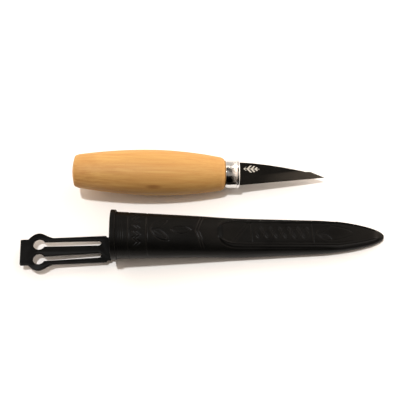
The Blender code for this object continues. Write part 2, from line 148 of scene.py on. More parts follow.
# Belt hanger: its own frame has the film hinge at x = 0 and reaches along -X.
HANGER_REACH = 0.0563
HANGER_THICKNESS = 0.0024
HINGE_STANDOFF = 0.0016
HINGE_HEIGHT = 0.0040
HANGER_OFFSET = -0.0042
HANGER_LIFT = math.radians(2.6)  # the film hinge holds the strap a little off the floor
HANGER_TURN = math.radians(2.2)
HANGER_EDGE = 0.0005  # radius of the plate's rounded edges
NECK_HALF = 0.0077
NECK_LENGTH = 0.0024
STRAP_HALF = 0.0088
WAIST_AT = 0.0352
BULGE_AT = 0.0448
BULGE_HALF = 0.0124
TAB_AT = 0.0511
TAB_HALF = 0.0085
SLOT_SPACING_AT_KEYHOLES = 0.0098
SLOT_SPACING_AT_HINGE = 0.0083
SLOT_WIDTH = 0.0034
SLOT_START = 0.0060
KEYHOLE_AT = 0.0447
KEYHOLE_DIAMETER = 0.0073
WEB_THICKNESS = 0.0009
WEB_OVERLAP = 0.0009  # how far the film reaches into the sheath's wall

# ---------------------------------------------------------------- frames of the knife and the sheath


def knife_frame():
    """The knife's own frame. Its blade reaches furthest at the tip and highest at the tang's end."""
    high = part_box("blade")[1]
    turn = Matrix.Rotation(KNIFE_PITCH, 4, "Y")
    tip = turn @ Vector((FERRULE_LENGTH + BLADE_LENGTH, 0, EDGE_LAND / 2))
    tang_end = turn @ Vector((FERRULE_LENGTH + HEEL_GAP - TANG_LENGTH, 0, BLADE_THICKNESS / 2))
    ferrule_low, ferrule_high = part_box("ferrule")
    across = (ferrule_low.y + ferrule_high.y) / 2
    return Matrix.Translation((high.x - tip.x, across, high.z - tang_end.z)) @ turn


def hinge_frame():
    joint = next(j for j in frame["joints"] if j["name"] == "hanger_fold")
    return Matrix.Translation(joint["pos_m"]) @ Matrix.Rotation(SHEATH_TURN, 4, "Z")


def sheath_frame():
    return hinge_frame() @ Matrix.Translation((HINGE_STANDOFF, -HANGER_OFFSET, -HINGE_HEIGHT))


def strap_frame():
    """The hinge's frame, lifted and turned as the strap is at rest."""
    return hinge_frame() @ Matrix.Rotation(HANGER_TURN, 4, "Z") @ Matrix.Rotation(HANGER_LIFT, 4, "Y")


# ---------------------------------------------------------------- mesh helpers


def smooth_step(t):
    t = np.clip(t, 0.0, 1.0)
    return t * t * (3 - 2 * t)


def arc(centre, radius, start, end, steps):
    """(x, y) points on an arc, angles in degrees."""
    angles = np.radians(np.linspace(start, end, steps + 1))
    return [(centre[0] + radius * math.cos(a), centre[1] + radius * math.sin(a)) for a in angles]


def finished_object(name, shape, place, material, sharp=40):
    """An object from a bmesh in its piece's frame, smooth apart from its sharp edges."""
    bmesh.ops.transform(shape, matrix=place, verts=shape.verts)
    bmesh.ops.recalc_face_normals(shape, faces=shape.faces)
    mesh = bpy.data.meshes.new(name)
    shape.to_mesh(mesh)
    shape.free()
    mesh.shade_smooth()
    mesh.set_sharp_from_angle(angle=math.radians(sharp))
    mesh.materials.append(material)
    obj = bpy.data.objects.new(name, mesh)
    bpy.context.scene.collection.objects.link(obj)
    return obj


def skin(rings):
    """A closed bmesh through rings of equal length. Each end closes on a point in the ring's middle."""
    count = rings.shape[1]
    shape = bmesh.new()
    rows = [[shape.verts.new(point) for point in ring] for ring in rings]
    after = [(i + 1) % count for i in range(count)]
    for row, following in zip(rows, rows[1:]):
        for i in range(count):
            shape.faces.new((row[i], row[after[i]], following[after[i]], following[i]))
    for row, ring in ((rows[0], rings[0]), (rows[-1], rings[-1])):
        pole = shape.verts.new(ring.mean(axis=0))
        for i in range(count):
            shape.faces.new((row[i], row[after[i]], pole))
    return shape


def turned_rings(profile, around):
    """Rings about the X axis from (along, radius, thickness over width) points."""
    angles = np.linspace(0, 2 * math.pi, around, endpoint=False)
    rings = [
        np.stack([np.full(around, along), radius * np.cos(angles), radius * oval * np.sin(angles)], axis=1)
        for along, radius, oval in profile
    ]
    return np.array(rings)


def combine(obj, other, operation):
    """Adds other's shape to obj or takes it away, and removes other."""
    modifier = obj.modifiers.new(other.name, "BOOLEAN")
    modifier.operation = operation
    modifier.object = other
    modifier.solver = "EXACT"
    graph = bpy.context.evaluated_depsgraph_get()
    result = bpy.data.meshes.new_from_object(obj.evaluated_get(graph))
    obj.modifiers.clear()
    obj.data = result
    bpy.data.objects.remove(other)


def block(name, low, high, place, material):
    """A helper box, used only to cut or to join."""
    shape = bmesh.new()
    bmesh.ops.create_cube(shape, size=1)
    size = Vector(high) - Vector(low)
    bmesh.ops.scale(shape, vec=size, verts=shape.verts)
    bmesh.ops.translate(shape, vec=Vector(low) + size / 2, verts=shape.verts)
    return finished_object(name, shape, place, material)


# ---------------------------------------------------------------- material helpers


class Shader:
    """One material's nodes, built with short calls that return sockets."""

    def __init__(self, name, place, colour, roughness, metallic=0.0):
        self.material = bpy.data.materials.new(name)
        self.material.use_nodes = True
        self.tree = self.material.node_tree
        self.surface = self.tree.nodes["Principled BSDF"]
        self.set("Base Color", (*colour, 1.0))
        self.set("Roughness", roughness)
        self.set("Metallic", metallic)
        mapping = self.tree.nodes.new("ShaderNodeMapping")
        mapping.vector_type = "TEXTURE"
        mapping.inputs["Location"].default_value = place.translation
        mapping.inputs["Rotation"].default_value = place.to_euler()
        coordinates = self.tree.nodes.new("ShaderNodeTexCoord")
        self.feed(mapping.inputs["Vector"], coordinates.outputs["Object"])
        self.place = mapping.outputs[0]

    def set(self, socket, value):
        """value is a number or colour, or a socket to link."""
        self.feed(self.surface.inputs[socket], value)

    def feed(self, socket, value):
        if isinstance(value, bpy.types.NodeSocket):
            self.tree.links.new(value, socket)
        else:
            socket.default_value = value

    def math(self, operation, first, second=0.0):
        node = self.tree.nodes.new("ShaderNodeMath")
        node.operation = operation
        self.feed(node.inputs[0], first)
        self.feed(node.inputs[1], second)
        return node.outputs[0]

    def stretched(self, x, y, z, offset=None):
        """Coordinates in the piece's own frame, scaled, after an optional offset vector."""
        source = self.place
        if offset is not None:
            add = self.tree.nodes.new("ShaderNodeVectorMath")
            add.operation = "ADD"
            self.feed(add.inputs[0], self.place)
            self.feed(add.inputs[1], offset)
            source = add.outputs[0]
        scale = self.tree.nodes.new("ShaderNodeVectorMath")
        scale.operation = "MULTIPLY"
        self.feed(scale.inputs[0], source)
        scale.inputs[1].default_value = (x, y, z)
        return scale.outputs[0]

    def noise(self, vector, detail=2.0, roughness=0.5, colour=False):
        node = self.tree.nodes.new("ShaderNodeTexNoise")
        node.inputs["Scale"].default_value = 1.0
        node.inputs["Detail"].default_value = detail
        node.inputs["Roughness"].default_value = roughness
        self.feed(node.inputs["Vector"], vector)
        return node.outputs[1 if colour else 0]

    def spread(self, value, low, high, to_low=0.0, to_high=1.0, smooth=False):
        """Maps low..high to to_low..to_high and holds it there."""
        node = self.tree.nodes.new("ShaderNodeMapRange")
        node.interpolation_type = "SMOOTHSTEP" if smooth else "LINEAR"
        self.feed(node.inputs["Value"], value)
        node.inputs["From Min"].default_value = low
        node.inputs["From Max"].default_value = high
        node.inputs["To Min"].default_value = to_low
        node.inputs["To Max"].default_value = to_high
        return node.outputs[0]

    def mix(self, share, first, second):
        """A colour between two colours or sockets."""
        node = self.tree.nodes.new("ShaderNodeMix")
        node.data_type = "RGBA"
        self.feed(node.inputs[0], share)
        for socket, value in ((node.inputs[6], first), (node.inputs[7], second)):
            self.feed(socket, value if isinstance(value, bpy.types.NodeSocket) else (*value, 1.0))
        return node.outputs[2]

    def sway(self, colour, amount):
        """A noise colour, whose middle is half, turned into a small offset round zero."""
        centre = self.tree.nodes.new("ShaderNodeVectorMath")
        centre.operation = "SUBTRACT"
        self.feed(centre.inputs[0], colour)
        centre.inputs[1].default_value = (0.5, 0.5, 0.5)
        scale = self.tree.nodes.new("ShaderNodeVectorMath")
        scale.operation = "SCALE"
        self.feed(scale.inputs[0], centre.outputs[0])
        scale.inputs["Scale"].default_value = amount
        return scale.outputs[0]

    def axes(self):
        node = self.tree.nodes.new("ShaderNodeSeparateXYZ")
        self.feed(node.inputs[0], self.place)
        return node.outputs[0], node.outputs[1], node.outputs[2]

    def bump(self, height, distance, strength=1.0, under=None):
        node = self.tree.nodes.new("ShaderNodeBump")
        node.inputs["Strength"].default_value = strength
        node.inputs["Distance"].default_value = distance
        self.feed(node.inputs["Height"], height)
        if under is not None:
            self.feed(node.inputs["Normal"], under)
        return node.outputs[0]


# ---------------------------------------------------------------- materials


PITH = (0.0, -0.006, -0.046)  # the tree's middle, below the handle
GROWTH_RING = 0.0027
KNOT_AT = (-0.0455, -0.0135)  # along and across the handle
KNOT_SIZE = (0.0052, 0.0008)


def growth_rings(wood):
    """0 to 1 through each growth ring, the late wood last. The rings sway a little along the handle."""
    sway = wood.sway(wood.noise(wood.stretched(9, 60, 60), 3.0, 0.5, colour=True), 0.006)
    moved = wood.stretched(0.0, 1.0, 1.0, sway)
    away = wood.tree.nodes.new("ShaderNodeVectorMath")
    away.operation = "DISTANCE"
    wood.feed(away.inputs[0], moved)
    away.inputs[1].default_value = PITH
    return wood.math("FRACT", wood.math("MULTIPLY", away.outputs["Value"], 1 / GROWTH_RING))


def small_knot(wood, x, y, z):
    """1 in the middle of a small dark spot on the handle's upper side. 0 elsewhere."""
    along = wood.math("DIVIDE", wood.math("SUBTRACT", x, KNOT_AT[0]), KNOT_SIZE[0])
    across = wood.math("DIVIDE", wood.math("SUBTRACT", y, KNOT_AT[1]), KNOT_SIZE[1])
    away = wood.math("ADD", wood.math("POWER", along, 2.0), wood.math("POWER", across, 2.0))
    return wood.math("MULTIPLY", wood.spread(away, 1.3, 0.1), wood.spread(z, 0.0, 0.001))


def birch(place):
    """Pale oiled birch. Growth rings run along the handle round a pith that lies outside it."""
    wood = Shader("oiled_birch", place, (0.70, 0.38, 0.13), 0.55)
    late = wood.spread(growth_rings(wood), 0.35, 0.97, 0.0, 1.0, smooth=True)
    fibre = wood.noise(wood.stretched(60, 2600, 2600), 3.0, 0.6)
    streak = wood.noise(wood.stretched(20, 620, 620), 4.0, 0.62)
    cloud = wood.noise(wood.stretched(22, 60, 60), 3.0, 0.5)
    fleck = wood.noise(wood.stretched(380, 3400, 3400), 1.0, 0.5)
    pale, deep = (0.560, 0.338, 0.106), (0.480, 0.243, 0.070)
    ring_tone, fibre_tone = (0.41, 0.190, 0.050), (0.40, 0.190, 0.054)
    dark_patch_tone, knot_tone, fleck_tone = (0.31, 0.135, 0.040), (0.24, 0.095, 0.027), (0.36, 0.18, 0.07)
    colour = wood.mix(wood.spread(streak, 0.30, 0.72), pale, deep)
    colour = wood.mix(wood.math("MULTIPLY", late, 0.12), colour, ring_tone)
    colour = wood.mix(wood.spread(fibre, 0.42, 0.75, 0.0, 0.30), colour, fibre_tone)
    x, y, z = wood.axes()
    # Darker patches: random clouds, and a darkening towards the butt on the handle's -Y half.
    butt_minus_y_side = wood.math("MULTIPLY", wood.spread(x, -0.030, -0.085), wood.spread(y, 0.002, -0.012))
    dark_patches = wood.spread(cloud, 0.50, 0.80, 0.0, 0.40)
    dark_patches = wood.math("ADD", dark_patches, wood.math("MULTIPLY", butt_minus_y_side, 0.45))
    colour = wood.mix(wood.math("MULTIPLY", dark_patches, wood.spread(streak, 0.25, 0.60)), colour, dark_patch_tone)
    knot = wood.math("MULTIPLY", small_knot(wood, x, y, z), wood.spread(streak, 0.35, 0.55, 0.15, 0.75))
    colour = wood.mix(knot, colour, knot_tone)
    colour = wood.mix(wood.spread(fleck, 0.69, 0.76, 0.0, 0.55), colour, fleck_tone)
    wood.set("Base Color", colour)
    wood.set("Roughness", wood.spread(streak, 0.3, 0.7, 0.50, 0.64))
    wood.set("Specular IOR Level", 0.28)
    raised = wood.math("ADD", fibre, wood.math("MULTIPLY", late, 0.4))
    wood.set("Normal", wood.bump(raised, 0.00004, 0.5))
    return wood.material


def plated(place):
    """Bright plating on drawn steel: nearly a mirror, with faint rubbing round it and small waves."""
    metal = Shader("bright_plating", place, (0.80, 0.80, 0.785), 0.10, 1.0)
    rub = metal.noise(metal.stretched(5200, 260, 260), 2.0, 0.6)
    wave = metal.noise(metal.stretched(420, 420, 420), 2.0, 0.5)
    dull = metal.noise(metal.stretched(420, 420, 420), 4.0, 0.65)
    metal.set("Roughness", metal.spread(dull, 0.35, 0.75, 0.07, 0.20))
    tone = metal.mix(metal.spread(dull, 0.55, 0.8, 0.0, 0.35), (0.72, 0.72, 0.71), (0.52, 0.52, 0.51))
    metal.set("Base Color", tone)
    waves = metal.bump(wave, 0.00026, 0.85)
    metal.set("Normal", metal.bump(rub, 0.000006, 0.5, waves))
    return metal.material


MARK_AT = (FERRULE_LENGTH + 0.0082, 0.0034)
MARK_HALF_LENGTH = 0.0052
MARK_HALF_WIDTH = 0.0026


def etched_frond(steel, x, y):
    """1 on the lines of a small etched frond: its midrib and slanted side leaves. 0 elsewhere."""
    along = steel.math("DIVIDE", steel.math("SUBTRACT", x, MARK_AT[0]), MARK_HALF_LENGTH)
    across = steel.math("DIVIDE", steel.math("SUBTRACT", y, MARK_AT[1]), MARK_HALF_WIDTH)
    away = steel.math("ABSOLUTE", across)
    edge = steel.math("SUBTRACT", 1.0, steel.math("MULTIPLY", along, along))
    depth = steel.math("SUBTRACT", edge, away)
    inside = steel.spread(depth, 0.0, 0.05)
    rib = steel.spread(away, 0.05, 0.10, 1.0, 0.0)
    slant = steel.math("SUBTRACT", steel.math("MULTIPLY", along, 2.0), steel.math("MULTIPLY", away, 0.9))
    leaf = steel.spread(steel.math("PINGPONG", slant, 0.5), 0.20, 0.26, 1.0, 0.0)
    return steel.math("MULTIPLY", inside, steel.math("MAXIMUM", rib, leaf))


def blade_steel(place):
    """Polished carbon steel: fine polish along the flats, cross grinding on the bevel, an etched frond."""
    # Its base colours are very dark for steel: partly the steel's own tone, partly painted shade for the
    # dark surroundings the polished blade mirrors.
    steel = Shader("polished_steel", place, (0.17, 0.165, 0.155), 0.11, 1.0)
    x, y, z = steel.axes()
    polish = steel.noise(steel.stretched(160, 9000, 2500), 3.0, 0.6)
    grind = steel.noise(steel.stretched(9500, 300, 300), 3.0, 0.6)
    cloud = steel.noise(steel.stretched(90, 190, 190), 3.0, 0.55)
    edge_rise = (HEEL_BELOW_AXIS - TIP_BELOW_AXIS) / BLADE_LENGTH
    edge = steel.math("MULTIPLY", steel.math("SUBTRACT", x, FERRULE_LENGTH), edge_rise)
    above_edge = steel.math("SUBTRACT", steel.math("ADD", y, HEEL_BELOW_AXIS), edge)
    flat = steel.spread(above_edge, BEVEL_HEIGHT, BEVEL_HEIGHT + 0.0002)
    ground = steel.math("MULTIPLY", grind, steel.math("SUBTRACT", 1.0, flat))
    marks = steel.math("ADD", steel.math("MULTIPLY", polish, flat), ground)
    frond = steel.math("MULTIPLY", etched_frond(steel, x, y), steel.spread(z, 0.0, 0.0005))
    colour = steel.mix(steel.spread(cloud, 0.35, 0.75), (0.150, 0.146, 0.136), (0.205, 0.198, 0.182))
    colour = steel.mix(frond, colour, (0.44, 0.43, 0.39))
    steel.set("Base Color", colour)
    rough = steel.spread(cloud, 0.3, 0.7, 0.04, 0.06)
    rough = steel.math("ADD", rough, steel.spread(marks, 0.3, 0.8, 0.0, 0.01))
    steel.set("Roughness", steel.math("MAXIMUM", rough, steel.math("MULTIPLY", frond, 0.62)))
    under = steel.bump(marks, 0.000004, 0.6)
    steel.set("Normal", steel.bump(frond, -0.00003, 0.6, under))
    return steel.material


def cured_glue(place):
    glue = Shader("cured_glue", place, (0.55, 0.42, 0.20), 0.35)
    cloud = glue.noise(glue.stretched(500, 500, 500), 3.0, 0.6)
    glue.set("Base Color", glue.mix(cloud, (0.60, 0.46, 0.22), (0.46, 0.33, 0.14)))
    glue.set("Roughness", glue.spread(cloud, 0.3, 0.7, 0.25, 0.5))
    glue.set("Normal", glue.bump(cloud, 0.0001, 0.5))
    return glue.material


def black_plastic(name, place, shine, paleness):
    """Moulded black polypropylene with the fine grain of its mould, a few rubs and a dusty bloom."""
    plastic = Shader(name, place, (0.007, 0.007, 0.0065), 0.42)
    grain = plastic.noise(plastic.stretched(3600, 3600, 3600), 2.0, 0.6)
    cloud = plastic.noise(plastic.stretched(55, 110, 110), 4.0, 0.6)
    rub = plastic.noise(plastic.stretched(120, 1900, 1900), 3.0, 0.65)
    scuff = plastic.math("MULTIPLY", plastic.spread(rub, 0.62, 0.80), plastic.spread(cloud, 0.45, 0.7))
    dark = Vector((0.0062, 0.0062, 0.0060)) * paleness
    dusty = Vector((0.0100, 0.0102, 0.0092)) * paleness
    colour = plastic.mix(plastic.spread(cloud, 0.3, 0.75), tuple(dark), tuple(dusty))
    colour = plastic.mix(plastic.math("MULTIPLY", scuff, 0.4), colour, (0.018, 0.018, 0.016))
    plastic.set("Base Color", colour)
    rough = plastic.spread(cloud, 0.3, 0.7, 0.30, 0.40)
    plastic.set("Roughness", plastic.math("ADD", rough, plastic.math("MULTIPLY", scuff, 0.14)))
    plastic.set("Specular IOR Level", shine)
    plastic.set("Normal", plastic.bump(grain, 0.00003, 0.45))
    return plastic.material


def pale_floor():
    card = Shader("pale_floor", Matrix(), (0.86, 0.86, 0.855), 0.9)
    fibre = card.noise(card.stretched(900, 900, 900), 3.0, 0.6)
    card.set("Base Color", card.mix(fibre, (0.90, 0.90, 0.895), (0.89, 0.89, 0.885)))
    card.set("Specular IOR Level", 0.15)
    return card.material


# ---------------------------------------------------------------- knife

TURNED_COLUMNS = 176  # points round a turned ring
BARREL_RINGS = 150
SANDING_WAVES = ((1.0, 3, 140, 0.0), (0.6, 7, -260, 1.3))  # size, turns, twist per metre, start
SANDING_DEPTH = 0.0011  # share of the radius


def handle_radius(along):
    """Half the handle's width at a distance behind (negative) its front face."""
    from_butt = HANDLE_LENGTH + along
    if from_butt < BELLY_FROM_BUTT:
        share = (BELLY_FROM_BUTT - from_butt) / BELLY_FROM_BUTT
        return HANDLE_WIDTH / 2 - BUTT_DROP * share**BUTT_POWER
    share = (from_butt - BELLY_FROM_BUTT) / (HANDLE_LENGTH - BELLY_FROM_BUTT)
    return HANDLE_WIDTH / 2 - FRONT_DROP * share**FRONT_POWER


def make_handle(place):
    """The turned barrel with its spigot and bore, and the slight waves that sanding leaves."""
    butt, spigot = -HANDLE_LENGTH, FERRULE_WIDTH / 2 - FERRULE_SHEET - HEEL_GAP
    spigot_end = FERRULE_LENGTH - 2 * FERRULE_SHEET - HEEL_GAP
    corner = (butt + BUTT_DOME + BUTT_CORNER, handle_radius(butt + BUTT_DOME) - BUTT_CORNER)
    profile = [(butt + BUTT_DOME * share**2, corner[1] * share) for share in np.linspace(0.04, 0.98, 26)]
    profile += arc(corner, BUTT_CORNER, 180, 96, 12)
    first_waved = len(profile) - 1
    barrel = np.linspace(corner[0] + 0.4 * BUTT_CORNER, -FRONT_CORNER, BARREL_RINGS)
    profile += [(along, handle_radius(along)) for along in barrel]
    shoulder = handle_radius(0) - FRONT_CORNER
    profile += arc((-FRONT_CORNER, shoulder), FRONT_CORNER, 80, 4, 12)
    profile += [(0, shoulder * (1 - share) + spigot * share) for share in (0.05, 0.5, 1)]
    turned = [(along, radius, OVAL) for along, radius in profile]
    turned += [(spigot_end, spigot, OVAL), (spigot_end, TANG_BORE_RADIUS, 1)]
    turned += [(-TANG_BORE_DEPTH, TANG_BORE_RADIUS, 1)]
    rings = turned_rings(turned, TURNED_COLUMNS)
    waved = rings[first_waved:first_waved + BARREL_RINGS]
    angle = np.arctan2(waved[:, :, 2], waved[:, :, 1])
    wave = sum(
        size * np.sin(turns * angle + twist * waved[:, :, 0] + start)
        for size, turns, twist, start in SANDING_WAVES
    )
    fade = np.sin(np.linspace(0, math.pi, len(waved)))[:, None]
    waved[:, :, 1:] *= (1 + SANDING_DEPTH * wave * fade)[:, :, None]
    handle = finished_object("birch_handle", skin(rings), place, birch(place), 30)
    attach(handle, "knife")
    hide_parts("handle")


CUP_CORNER = 0.0004  # radius inside the cup, and of the bead's back
CUP_ROLL = 0.00033  # radius of the rolled edge against the wood
CUP_EDGE = 0.00075  # radius of the front edge
BEAD_FROM_FRONT = 0.0020
BEAD_GROOVE = (0.00012, 0.00007)  # along and into the wall
ROLL_GROOVE = 0.00006


def make_ferrule(place):
    """A drawn cup: a rolled edge against the wood, a straight wall, a bead and a rounded front edge."""
    radius, wall = FERRULE_WIDTH / 2, FERRULE_SHEET
    bead = radius + FERRULE_BEAD
    inner_end = FERRULE_LENGTH - 2 * wall
    inner_corner = (inner_end - CUP_CORNER, radius - wall - CUP_CORNER)
    profile = [(inner_end, CUP_CORNER), (inner_end, inner_corner[1])]
    profile += arc(inner_corner, CUP_CORNER, 0, 90, 4)
    profile += [(HEEL_GAP + 0.0003, radius - wall)]
    profile += arc((HEEL_GAP + 0.00035, radius - wall / 2 + 0.00002), CUP_ROLL, 250, 90, 8)
    profile += [(HEEL_GAP + 0.0009, radius - ROLL_GROOVE), (HEEL_GAP + 0.0013, radius)]
    bead_from = FERRULE_LENGTH - BEAD_FROM_FRONT
    profile += [(bead_from, radius), (bead_from + BEAD_GROOVE[0], radius - BEAD_GROOVE[1])]
    profile += arc((bead_from + 0.00055, bead - CUP_CORNER), CUP_CORNER, 125, 92, 5)
    profile += arc((FERRULE_LENGTH - CUP_EDGE, bead - CUP_EDGE), CUP_EDGE, 88, 0, 12)
    profile += [(FERRULE_LENGTH, radius * share) for share in (0.86, 0.6, 0.3, 0.02)]
    shape = skin(turned_rings([(x, r, OVAL) for x, r in profile], TURNED_COLUMNS))
    metal = plated(place)
    ferrule = finished_object("bright_ferrule", shape, place, metal, 35)
    half = TANG_ROOT_WIDTH / 2 + HEEL_GAP
    thick = BLADE_THICKNESS / 2 + HEEL_GAP
    overrun = 0.002
    low, high = (inner_end - overrun, -half, -thick), (FERRULE_LENGTH + overrun, half, thick)
    combine(ferrule, block("tang_slot", low, high, place, metal), "DIFFERENCE")
    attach(ferrule, "knife")
    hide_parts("ferrule")


def spine_above_axis(x, heel, tip):
    """The spine falls slowly to its clip, runs nearly level over a hump, then straight down to the tip."""
    clip, hump = tip - CLIP_FROM_TIP, tip - HUMP_FROM_TIP
    if x <= clip:
        return HEEL_ABOVE_AXIS - SPINE_DROP * ((x - heel) / (clip - heel)) ** SPINE_POWER
    drops = (SPINE_DROP, HUMP_DROP, HEEL_ABOVE_AXIS + TIP_BELOW_AXIS)
    return HEEL_ABOVE_AXIS - float(np.interp(x, (clip, hump, tip), drops))


BLADE_RINGS = 90
CLIP_RINGS = 40
LAST_RING = 0.00015  # how far short of the tip the last ring is
FACE_COLUMNS = 7
SPINE_EASE = ((0.55, 0.12), (1.0, 0.7))  # shares of the chamfer's height and depth
TANG_INTO_BLADE = 0.0004
TANG_THINNESS = 0.98  # share of the blade's thickness


def make_blade(place):
    """The blade: two flat bevels to the edge, flat sides, an eased spine, and the tang behind it."""
    heel, tip = FERRULE_LENGTH + HEEL_GAP, FERRULE_LENGTH + BLADE_LENGTH
    fall = math.atan2(HEEL_BELOW_AXIS - TIP_BELOW_AXIS, tip - heel)
    slope = (BLADE_THICKNESS / 2 - EDGE_LAND / 2) / BEVEL_HEIGHT
    rings = []
    clip = tip - CLIP_FROM_TIP
    stations = list(np.linspace(heel, clip, BLADE_RINGS))
    stations += list(np.linspace(clip, tip - LAST_RING, CLIP_RINGS))[1:]
    for x in stations:
        edge = -HEEL_BELOW_AXIS + (x - heel) * math.tan(fall)
        spine = spine_above_axis(x, heel, tip)
        shoulder = min(edge + BEVEL_HEIGHT / math.cos(fall), spine - 0.00002)
        chamfer = min(SPINE_CHAMFER, 0.3 * (spine - edge))
        flat_end = max(shoulder, spine - chamfer)
        side = []
        bevel, flat = (edge, shoulder, FACE_COLUMNS), (shoulder, flat_end, FACE_COLUMNS)
        for y in [*np.linspace(*bevel), *np.linspace(*flat)[1:]]:
            half = min(BLADE_THICKNESS / 2, EDGE_LAND / 2 + slope * (y - edge) * math.cos(fall))
            side.append((y, half))
        top = side[-1][1]
        side += [(flat_end + (spine - flat_end) * up, top - chamfer * inward) for up, inward in SPINE_EASE]
        ring = [(x, y, half) for y, half in side] + [(x, y, -half) for y, half in reversed(side)]
        rings.append(ring)
    shape = skin(np.array(rings))
    bmesh.ops.remove_doubles(shape, verts=shape.verts, dist=0.000004)
    steel = blade_steel(place)
    blade = finished_object("ground_blade", shape, place, steel, 12)
    tang = bmesh.new()
    bmesh.ops.create_cube(tang, size=1)
    for vertex in tang.verts:
        root = vertex.co.x > 0
        along = heel + TANG_INTO_BLADE if root else heel - TANG_LENGTH
        width = TANG_ROOT_WIDTH if root else TANG_END_WIDTH
        vertex.co = (along, vertex.co.y * width, vertex.co.z * BLADE_THICKNESS * TANG_THINNESS)
    combine(blade, finished_object("tang", tang, place, steel), "UNION")
    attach(blade, "knife")
    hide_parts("blade")


# ---------------------------------------------------------------- sheath


def sheath_half_width(along):
    """Half the sheath's outer width at a distance from the mouth, without the rim."""
    half = MOUTH_HALF_WIDTH - SIDE_TAPER * along
    if along > TIP_START:
        share = (along - TIP_START) / (SHEATH_LENGTH - TIP_START)
        half *= math.sqrt(max(0.0, 1 - share**TIP_POWER))
    return half


def blade_share(along):
    """0 over the handle pocket, 1 over the blade part."""
    return float(smooth_step((along - POCKET_END) / (BLADE_START - POCKET_END)))


def sheath_depth(along):
    """The sheath's outer thickness at a distance from the mouth, without the rim and the panel."""
    pocket = MOUTH_DEPTH - POCKET_TAPER * along
    blade = BLADE_DEPTH - BLADE_TAPER * along
    depth = pocket + (blade - pocket) * blade_share(along)
    if along > TIP_START:
        share = (along - TIP_START) / (SHEATH_LENGTH - TIP_START)
        depth += (TIP_DEPTH - (BLADE_DEPTH - BLADE_TAPER * SHEATH_LENGTH)) * share**3
    nose = min(1.0, max(0.0, 1 - (SHEATH_LENGTH - along) / NOSE_LENGTH))
    return depth * (1 - NOSE_DROP * (1 - math.sqrt(1 - nose**2)))


def front_power(along):
    """How square the front of the section is: round over the handle, flatter over the blade."""
    return POCKET_POWER + (BLADE_POWER - POCKET_POWER) * blade_share(along)


def back_lift(along):
    """How far the flat back stands above the floor."""
    return MOUTH_LIFT * max(0.0, 1 - along / LIFT_END) ** LIFT_POWER


def back_corner(along):
    """The back corners' shares of the half-width and depth: round at the mouth, tight over the blade."""
    share = blade_share(along)
    ends = zip(MOUTH_BACK_CORNER, BLADE_BACK_CORNER)
    return [mouth + (blade - mouth) * share for mouth, blade in ends]


FRONT_COLUMNS = 132
BACK_COLUMNS = 9
CORNER_COLUMNS = 14
CURVE_SAMPLES = 600  # points from which the front's even ones are taken


def section(half, low, high, corner, power):
    """(y, z) points of a ring: a flat back, elliptic back corners and an even superelliptic front."""
    across, rise = corner[0] * half, corner[1] * (high - low)
    flat = half - across
    turn = [(across * y, rise * (1 + z)) for y, z in arc((0, 0), 1, -90, 0, CORNER_COLUMNS)[1:-1]]
    back = [(y, low) for y in np.linspace(-flat, flat, BACK_COLUMNS)]
    right = [(flat + y, low + z) for y, z in turn]
    left = [(-flat - y, low + z) for y, z in reversed(turn)]
    angles = np.linspace(0, math.pi, CURVE_SAMPLES)
    y = half * np.sign(np.cos(angles)) * np.abs(np.cos(angles)) ** (2 / power)
    z = low + rise + (high - low - rise) * np.sin(angles) ** (2 / power)
    run = np.concatenate([[0], np.cumsum(np.hypot(np.diff(y), np.diff(z)))])
    places = np.linspace(0, run[-1], FRONT_COLUMNS)
    front = np.stack([np.interp(places, run, y), np.interp(places, run, z)], axis=1)
    return np.array([*back, *right, *front, *left])


def groove(distance, width, depth):
    """A rounded channel of that full width along a line at distance 0."""
    return -depth * smooth_step(1 - np.abs(distance) / (width / 2))


def between(x, start, end, fade=0.0003):
    """1 from start to end, fading just inside both."""
    return smooth_step((x - start) / fade) * smooth_step((end - x) / fade)


def leaf_line(x, y, centre, half_length, half_width, lean):
    """Distance from a pointed leaf's outline (negative inside), and from its midrib."""
    cosine, sine = math.cos(lean), math.sin(lean)
    along = (x - centre[0]) * cosine + (y - centre[1]) * sine
    across = -(x - centre[0]) * sine + (y - centre[1]) * cosine
    radius = (half_length**2 + half_width**2) / (2 * half_width)
    outline = np.hypot(along, np.abs(across) + radius - half_width) - radius
    rib = np.hypot(np.maximum(np.abs(along) - 0.72 * half_length, 0), across)
    return outline, rib


def panel_half_width(along):
    """The front panel starts in a round end and keeps its width until the sides close in."""
    half = min(PANEL_HALF_WIDTH, max(0.0, sheath_half_width(along) - PANEL_MARGIN))
    if along < PANEL_FULL:
        share = min(1.0, (PANEL_FULL - along) / (PANEL_FULL - PANEL_START))
        half *= math.sqrt(max(0.0, 1 - share**2.2))
    return half


def pocket_relief(x, y):
    """Engraving on the round handle pocket: fine rings, a band of chevrons, leaves and slanted lines."""
    line, deep = 0.0009, 0.00030
    relief = np.zeros_like(x)
    for ring_at in (0.0050, 0.0063, 0.0076):
        relief += groove(x - ring_at, 0.0006, 0.00010)
    relief += groove(x - 0.0112, 0.0010, 0.00032)
    relief += groove(x - 0.0222, 0.0010, 0.00032)
    face = between(np.abs(y), -1.0, 0.0112, 0.0012)
    zigzag = np.abs(((y / 0.0042) % 1.0) - 0.5) * 2
    for chevrons in (0.0136, 0.0156):
        relief += groove((x - chevrons - 0.0026 * zigzag) * 0.63, line, deep) * face
    for centre, lean in (((0.0300, 0.0036), 0.55), ((0.0300, -0.0036), -0.55), ((0.0430, 0.0), 0.0)):
        outline, rib = leaf_line(x, y, centre, 0.0062, 0.0024, lean)
        relief += groove(outline, line, deep) + groove(rib, line * 0.8, deep * 0.8)
    for start in (0.0520, 0.0538):
        relief += groove((x - start - 0.35 * np.abs(y)) * 0.94, line, deep) * face
    return relief


